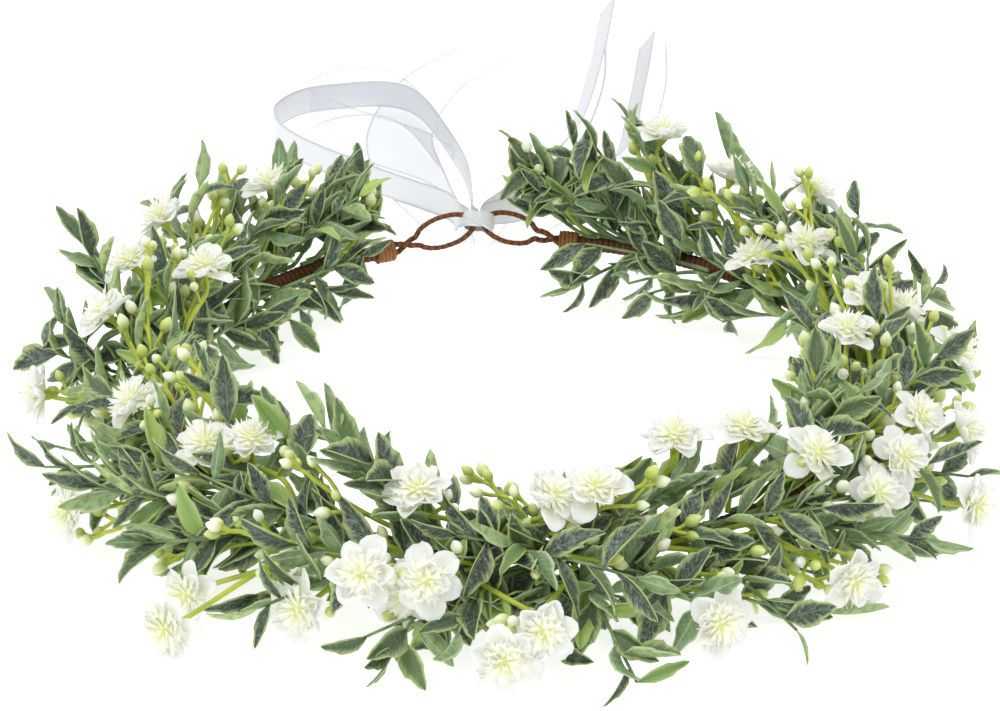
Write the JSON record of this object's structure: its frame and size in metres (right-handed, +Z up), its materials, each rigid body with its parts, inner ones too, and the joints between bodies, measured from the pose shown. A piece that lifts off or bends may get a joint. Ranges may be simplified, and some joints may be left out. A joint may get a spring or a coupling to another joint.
{
  "type": "flower crown",
  "caption": "Open taped-wire hoop with leaf sprays, bud sprigs and white blossoms, tied at the back through two wire eyes with satin and organza ribbon.",
  "frame": {"origin": "centre of the hoop, on the surface that the crown lies on", "axes": "+Z up out of the head opening, +Y from the front of the hoop to the tie at its back, +X to the right seen from the front"},
  "size_m": [0.2837, 0.4984, 0.0581],
  "materials": {
    "steel_wire": "satin",
    "brown_tape": "matte",
    "tan_tape": "matte",
    "eye_tape": "matte",
    "satin": "satin",
    "organza": "sheer",
    "leaf": "frosted",
    "stem": "satin",
    "petal": "matte"
  },
  "bodies": {
    "crown": {"hoop_wire": "steel_wire", "hoop_tape": "brown_tape", "left_collar": "tan_tape", "right_collar": "tan_tape", "left_eye": "eye_tape", "right_eye": "eye_tape", "ribbon_knot": "satin", "leaf_spray_01": "leaf", "leaf_spray_02": "leaf", "leaf_spray_03": "leaf", "leaf_spray_04": "leaf", "leaf_spray_05": "leaf", "leaf_spray_06": "leaf", "leaf_spray_07": "leaf", "leaf_spray_08": "leaf", "leaf_spray_09": "leaf", "leaf_spray_10": "leaf", "leaf_spray_11": "leaf", "leaf_spray_12": "leaf", "leaf_spray_13": "leaf", "leaf_spray_14": "leaf", "bud_sprig_01": "stem", "bud_sprig_02": "stem", "bud_sprig_03": "stem", "bud_sprig_04": "stem", "bud_sprig_05": "stem", "bud_sprig_06": "stem", "bud_sprig_07": "stem", "bud_sprig_08": "stem", "bud_sprig_09": "stem", "bud_sprig_10": "stem", "bud_sprig_11": "stem", "blossom_01": "petal", "blossom_02": "petal", "blossom_03": "petal", "blossom_04": "petal", "blossom_05": "petal", "blossom_06": "petal", "blossom_07": "petal", "blossom_08": "petal", "blossom_09": "petal", "blossom_10": "petal", "blossom_11": "petal", "blossom_12": "petal", "blossom_13": "petal", "blossom_14": "petal", "blossom_15": "petal", "blossom_16": "petal", "blossom_17": "petal", "blossom_18": "petal", "blossom_19": "petal", "blossom_20": "petal", "blossom_21": "petal", "blossom_22": "petal"},
    "loop_ribbons": {"satin_loop": "satin", "organza_loop": "organza", "organza_run": "organza"},
    "tail_ribbons": {"satin_tail_long": "satin", "satin_tail_short": "satin", "organza_tail": "organza"}
  },
  "joints": [
    {"name": "loop_swing", "type": "hinge", "parent": "crown", "child": "loop_ribbons", "pos_m": [-0.012, 0.1, 0.0245], "axis": [1, 0, 0], "range_deg": [-70, 60]},
    {"name": "tail_swing", "type": "hinge", "parent": "crown", "child": "tail_ribbons", "pos_m": [-0.012, 0.1, 0.0245], "axis": [1, 0, 0], "range_deg": [-70, 60]}
  ]
}
